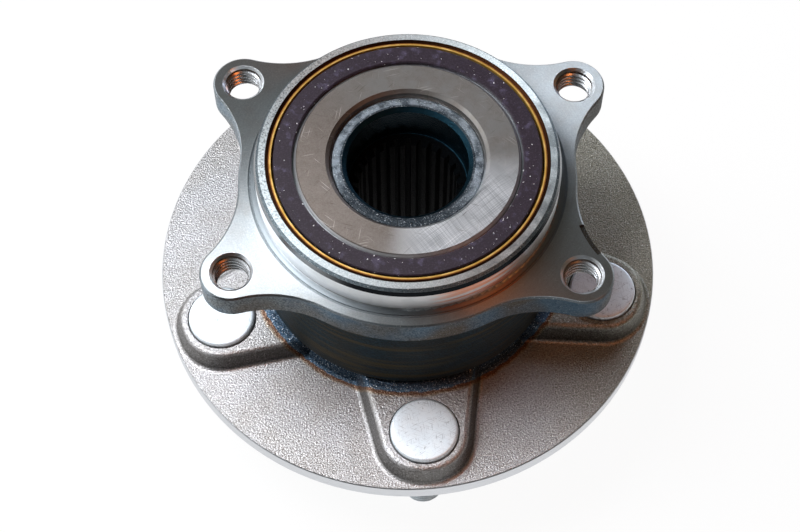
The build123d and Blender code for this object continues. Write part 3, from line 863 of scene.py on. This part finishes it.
# A turned form with a rolled thread. Its outline gives radius and height row by row. In the threaded
# rows the radius is major - depth * wave(z / pitch - angle / (2 pi)), wave being a triangle with its
# crest and root cut flat, and along the shank it swells a little with the cosine of the serration
# count times the angle.
def wheelStud(name, angle, settings):
    angles = np.linspace(0, 2 * math.pi, settings["columns"], endpoint=False)
    tipZ, tipLength, tipRadius = settings["tipZ"], settings["tipLength"], settings["tipRadius"]
    headTop, headRound, seatZ = settings["headTopZ"], settings["headRound"], settings["seatZ"]
    thread, shank, head = settings["threadRadius"], settings["shankRadius"], settings["headRadius"]
    tipRound, threadTop, pitch = settings["tipRound"], settings["threadTopZ"], settings["pitch"]
    neck, headBreak = thread - settings["threadRecess"], settings["headBreak"]
    tip = [(0.0, tipZ), (tipRadius * 0.5, tipZ), (tipRadius - tipRound, tipZ)]
    tip += [(tipRadius, tipZ + tipRound), (tipRadius, tipZ + tipLength / 2)]
    threaded = [(thread, z) for z in np.arange(tipZ + tipLength * 0.55, threadTop, pitch / 10).tolist()]
    upper = [(neck, threadTop + 0.1), (neck, 0.4), (shank, 0.8), (shank, seatZ - 0.3), (shank, seatZ)]
    upper += [(head - headBreak, seatZ), (head, seatZ + headBreak)]
    quarter = np.linspace(0, math.pi / 2, 7)
    rim = np.stack([np.cos(quarter), np.sin(quarter)], axis=1) * headRound
    rim = rim + (head - headRound, headTop - headRound)
    dish = [(6.5, headTop), (4.0, headTop), (2.6, headTop - 0.01)]
    dish += [(1.3, headTop - 0.05), (0.0, headTop - 0.07)]
    outline = np.concatenate([tip, threaded, upper, rim, dish])
    radius = np.repeat(outline[:, :1], len(angles), axis=1)
    z = np.repeat(outline[:, 1:], len(angles), axis=1)
    shankStart = len(tip) + len(threaded) + 2
    cut, shankRows = slice(len(tip), len(tip) + len(threaded)), slice(shankStart, shankStart + 2)
    phase = z[cut] / pitch - angles[None, :] / (2 * math.pi)
    triangle = 2 * np.abs(phase - np.floor(phase) - 0.5)
    wave = np.clip(1.16 * triangle - 0.08, 0, 1)
    depth = settings["threadDepth"] * np.clip((threadTop - z[cut]) / 1.2, 0, 1)
    taper = np.clip((z[cut] - tipZ - tipLength / 2) / 1.1, 0, 1)
    radius[cut] = np.minimum(thread - depth * wave, tipRadius + (thread - tipRadius) * taper)
    radius[shankRows] += settings["serrationHeight"] * np.cos(settings["serrations"] * angles)[None, :]
    centre = settings["boltCircle"] / 2 * np.array([math.cos(angle), math.sin(angle)])
    x = centre[0] + radius * np.cos(angles)
    y = centre[1] + radius * np.sin(angles)
    return surfaceFromGrid(name, np.stack([x, y, z], axis=-1))


zinc = zincPlate(studLook)
for number in range(1, studLook["count"] + 1):
    angle = math.radians(studLook["turn"] + 360 / studLook["count"] * (number - 1))
    stud = wheelStud(f"stud_{number}", angle, studLook)
    stud.data.materials.append(zinc)
    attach(stud, "hub")
    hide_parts(f"wheel_stud_{number}")
print("wheel studs rolled")


floorLook = {"size": 6000.0, "z": studLook["tipZ"], "glow": 0.94}


# Matt white paper under the part. Seen by the camera and in reflections it glows nearly white,
# and the share that doesn't glow still darkens in the part's shadow.
def paperFloor(settings):
    material, tree = newTree("matt white paper")
    coordinates = addNode(tree, "TexCoord").outputs["Object"]
    fibre = addNode(tree, "TexNoise", {"Vector": coordinates, "Scale": 900.0, "Detail": 3.0}).outputs[0]
    tone = addNode(tree, "MapRange", {0: fibre, 1: 0.3, 2: 0.7, 3: 0.93, 4: 0.95}).outputs[0]
    paper = addNode(tree, "BsdfDiffuse", {"Color": tone}).outputs[0]
    glow = addNode(tree, "Emission", {"Color": "FFFFFF", "Strength": 1.0}).outputs[0]
    path = addNode(tree, "LightPath").outputs
    seen = path["Is Camera Ray"]
    for kind in ("Is Glossy Ray", "Is Transmission Ray"):
        seen = addNode(tree, "Math", {0: seen, 1: path[kind]}, operation="MAXIMUM").outputs[0]
    share = overlap(tree, seen, settings["glow"])
    shader = addNode(tree, "MixShader", {0: share, 1: paper, 2: glow}).outputs[0]
    addNode(tree, "OutputMaterial", {0: shader})
    half, z = settings["size"] / 2 * mm, settings["z"] * mm
    corners = [(-half, -half, z), (half, -half, z), (half, half, z), (-half, half, z)]
    mesh = bpy.data.meshes.new("floor")
    mesh.from_pydata(corners, [], [(0, 1, 2, 3)])
    mesh.materials.append(material)
    floor = bpy.data.objects.new("floor", mesh)
    bpy.context.scene.collection.objects.link(floor)


paperFloor(floorLook)

# Size is width and height, glow is how bright the face of the lamp is beside white paper.
lamps = {
    "left_panel": {"at": (-325, 65, 560), "size": (340, 380), "glow": 11.6, "colour": "F6F9FF"},
    "back_panel": {"at": (380, 640, 300), "size": (320, 280), "glow": 6.2, "colour": "DCE8FF"},
    "warm_card": {"at": (300, -190, 640), "size": (160, 160), "glow": 7.0, "colour": "FF8F45"},
}
for name, lamp in lamps.items():
    light = bpy.data.lights.new(name, "AREA")
    light.shape = "RECTANGLE"
    light.size, light.size_y = [length * mm for length in lamp["size"]]
    light.energy = lamp["glow"] * math.pi * light.size * light.size_y
    light.color = hexColour(lamp["colour"])[:3]
    holder = bpy.data.objects.new(name, light)
    x, y, z = [length * mm for length in lamp["at"]]
    holder.location = (x, y, z)
    # turned to look at the middle of the part
    holder.rotation_euler = (math.atan2(math.hypot(x, y), z), 0, math.atan2(y, x) + math.pi / 2)
    bpy.context.scene.collection.objects.link(holder)

# Light on the left, warm and dim on the right, and dark low in front, where the camera stands.
room = {"middle": "485153", "left": "F4F6F8", "right": "4C4537", "front": "1C1F22", "strength": 1.0}
world = bpy.data.worlds.new("room")
world.use_nodes = True
roomTree = world.node_tree
roomTree.nodes.clear()
direction = addNode(roomTree, "TexCoord").outputs["Generated"]
leftwards = facing(roomTree, direction, (-1.0, 0.0, 0.0), 0.0, 0.7)
rightwards = facing(roomTree, direction, (1.0, 0.0, 0.0), -0.05, 0.4)
forwards = facing(roomTree, direction, (0.0, -1.0, 0.0), 0.2, 0.7)
low = facing(roomTree, direction, (0.0, 0.0, -1.0), -0.8, -0.45)
ahead = overlap(roomTree, forwards, low)
sides = [(leftwards, room["left"]), (rightwards, room["right"]), (ahead, room["front"])]
sky = layCoats(roomTree, room["middle"], sides)
backdrop = addNode(roomTree, "Background", {0: sky, 1: room["strength"]}).outputs[0]
addNode(roomTree, "OutputWorld", {0: backdrop})
bpy.context.scene.world = world

# The camera stands where the photograph was taken; turn is in degrees.
cameraLook = {
    "at": (2.116, -252.286, 460.974),
    "turn": (28.8446, 0.2001, 0.6266),
    "lens": 79.845,
    "sensor": 36.0,
    "nearest": 10.0,
}
camera = bpy.data.objects.new("camera", bpy.data.cameras.new("camera"))
camera.location = [value * mm for value in cameraLook["at"]]
camera.rotation_euler = [math.radians(value) for value in cameraLook["turn"]]
camera.data.lens = cameraLook["lens"]
camera.data.sensor_width = cameraLook["sensor"]
camera.data.clip_start = cameraLook["nearest"] * mm
bpy.context.scene.collection.objects.link(camera)
bpy.context.scene.camera = camera
bpy.context.scene.view_settings.view_transform = "Standard"
print("floor, light and camera set")
